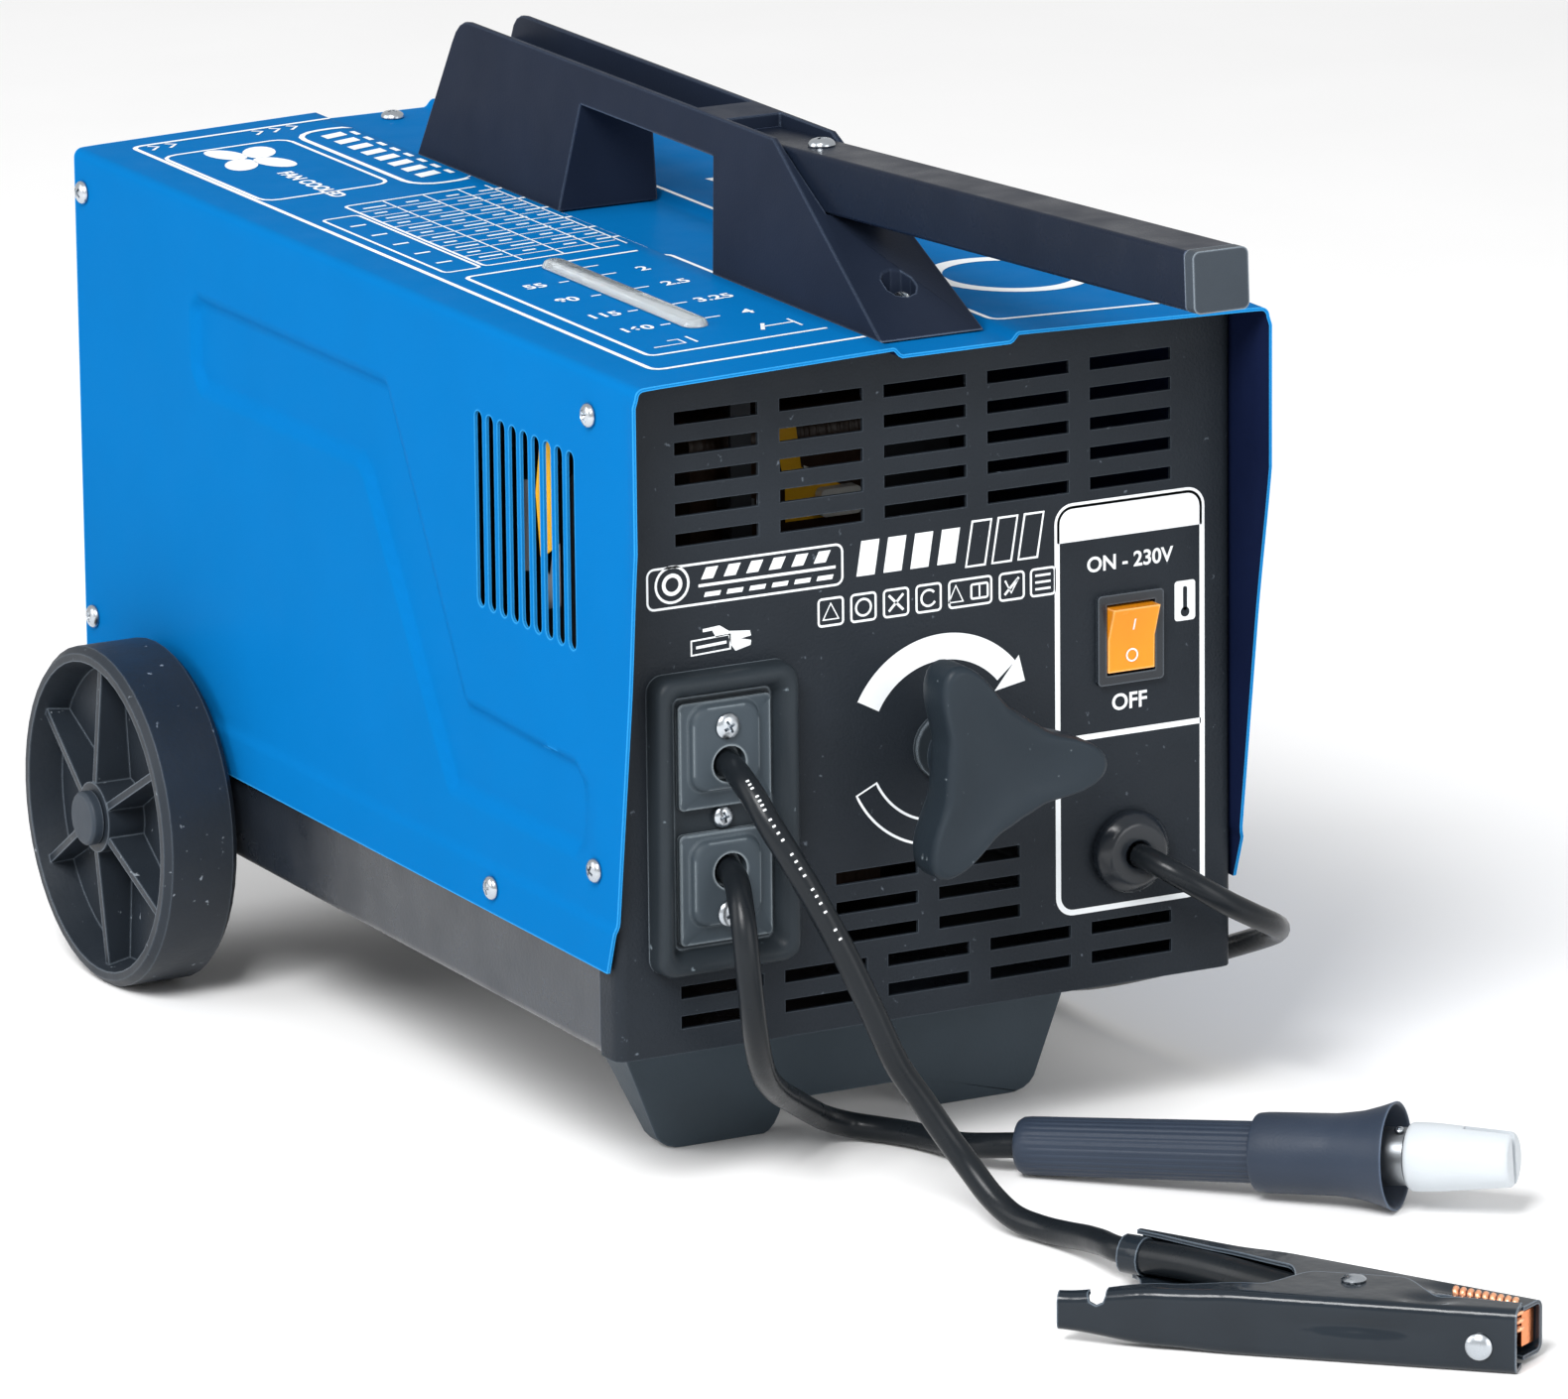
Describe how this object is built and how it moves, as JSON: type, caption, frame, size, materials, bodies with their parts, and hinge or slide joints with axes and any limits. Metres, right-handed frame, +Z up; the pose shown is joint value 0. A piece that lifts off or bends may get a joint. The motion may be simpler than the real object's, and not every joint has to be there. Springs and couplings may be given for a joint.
{
  "type": "wheeled stick welder",
  "caption": "Fan-cooled transformer arc welder on two wheels, with carry handle, tow bar, shunt-set current dial, and welding leads ending in an electrode holder and an earth clamp.",
  "frame": {"origin": "on the floor under the middle of the machine, which is measured from the tow bar's cap to the back of the cover, without the leads", "axes": "+Z up, the front panel with its switch and knob faces -Y, +X to the right seen from the front"},
  "size_m": [0.4417, 0.7492, 0.3613],
  "materials": {
    "cover_paint": "satin blue powder coat",
    "black_paint": "fine textured black powder coat",
    "black_plastic": "satin moulded black",
    "grey_plastic": "matte dark grey",
    "black_rubber": "satin black",
    "zinc_steel": "bright zinc plate",
    "core_iron": "laminated steel edges",
    "winding": "varnished yellow winding",
    "copper": "bright copper",
    "orange_plastic": "translucent orange",
    "clear_plastic": "clear moulded",
    "red_plastic": "gloss red",
    "ivory_plastic": "off-white moulded"
  },
  "bodies": {
    "machine": {"chassis_base": "black_paint", "front_panel": "black_paint", "rear_panel": "black_paint", "cover": "cover_paint", "cover_screw_1": "zinc_steel", "cover_screw_2": "zinc_steel", "cover_screw_3": "zinc_steel", "cover_screw_4": "zinc_steel", "cover_screw_5": "zinc_steel", "cover_screw_roof": "zinc_steel", "handle": "black_plastic", "handle_screw": "zinc_steel", "tow_bar": "black_paint", "tow_bar_cap": "black_plastic", "tow_bar_screw": "zinc_steel", "dial_window": "clear_plastic", "spindle_bush": "grey_plastic", "terminal_housing": "grey_plastic", "terminal_plate_upper": "grey_plastic", "terminal_plate_lower": "grey_plastic", "terminal_screw_upper": "zinc_steel", "terminal_screw_lower": "zinc_steel", "switch_bezel": "black_plastic", "mains_gland": "black_rubber", "front_foot": "black_plastic", "axle": "zinc_steel", "hub_cap_left": "grey_plastic", "hub_cap_right": "grey_plastic", "transformer_core": "core_iron", "primary_coil": "winding", "secondary_coil": "winding", "core_bracket_left": "zinc_steel", "core_bracket_right": "zinc_steel", "thermostat": "ivory_plastic", "fan_bracket": "zinc_steel", "fan_motor": "core_iron", "mains_cable": "black_rubber", "mains_coil": "black_rubber", "mains_plug": "black_rubber", "earth_lead": "black_rubber", "electrode_lead": "black_rubber", "holder_grip": "black_rubber", "holder_guard": "black_rubber", "holder_neck": "zinc_steel", "clamp_pivot": "zinc_steel", "clamp_spring": "zinc_steel", "clamp_lever_far": "black_paint", "clamp_jaw_far": "copper", "clamp_lug": "copper"},
    "left_wheel": {"wheel_left": "black_plastic"},
    "right_wheel": {"wheel_right": "black_plastic"},
    "fan": {"fan_blades": "ivory_plastic"},
    "regulator_knob": {"knob": "black_plastic", "spindle": "zinc_steel"},
    "shunt": {"shunt_block": "core_iron", "dial_pointer": "red_plastic"},
    "rocker": {"switch_rocker": "orange_plastic"},
    "holder_head": {"holder_tip": "ivory_plastic"},
    "clamp_near_half": {"clamp_lever_near": "black_paint", "clamp_jaw_near": "copper"}
  },
  "joints": [
    {"name": "left_wheel_spin", "type": "hinge", "parent": "machine", "child": "left_wheel", "pos_m": [-0.1402, 0.23763, 0.0625], "axis": [1, 0, 0], "continuous": true},
    {"name": "right_wheel_spin", "type": "hinge", "parent": "machine", "child": "right_wheel", "pos_m": [0.1402, 0.23763, 0.0625], "axis": [1, 0, 0], "continuous": true},
    {"name": "fan_spin", "type": "hinge", "parent": "machine", "child": "fan", "pos_m": [0, 0.28155, 0.175], "axis": [0, 1, 0], "continuous": true},
    {"name": "current_knob", "type": "hinge", "parent": "machine", "child": "regulator_knob", "pos_m": [0.006, -0.14, 0.149], "axis": [0, 1, 0], "range_deg": [0, 4560]},
    {"name": "shunt_travel", "type": "slide", "parent": "machine", "child": "shunt", "axis": [0, -1, 0], "range_m": [0, 0.076]},
    {"name": "switch_rock", "type": "hinge", "parent": "machine", "child": "rocker", "pos_m": [0.079, -0.11137, 0.1777], "axis": [-1, 0, 0], "range_deg": [0, 14]},
    {"name": "holder_twist", "type": "hinge", "parent": "machine", "child": "holder_head", "pos_m": [0.1117, -0.23677, 0.0191], "axis": [0.6704, -0.7391, 0.065], "range_deg": [0, 180]},
    {"name": "clamp_open", "type": "hinge", "parent": "machine", "child": "clamp_near_half", "pos_m": [0.0232, -0.35717, 0.0113], "axis": [0, 0, -1], "range_deg": [0, 16], "stiffness_Nm_per_rad": 0.9, "springref_deg": -17.19}
  ],
  "couplings": [
    {"joint": "current_knob", "follows": "shunt_travel", "rad_per_m": 1047.2}
  ]
}
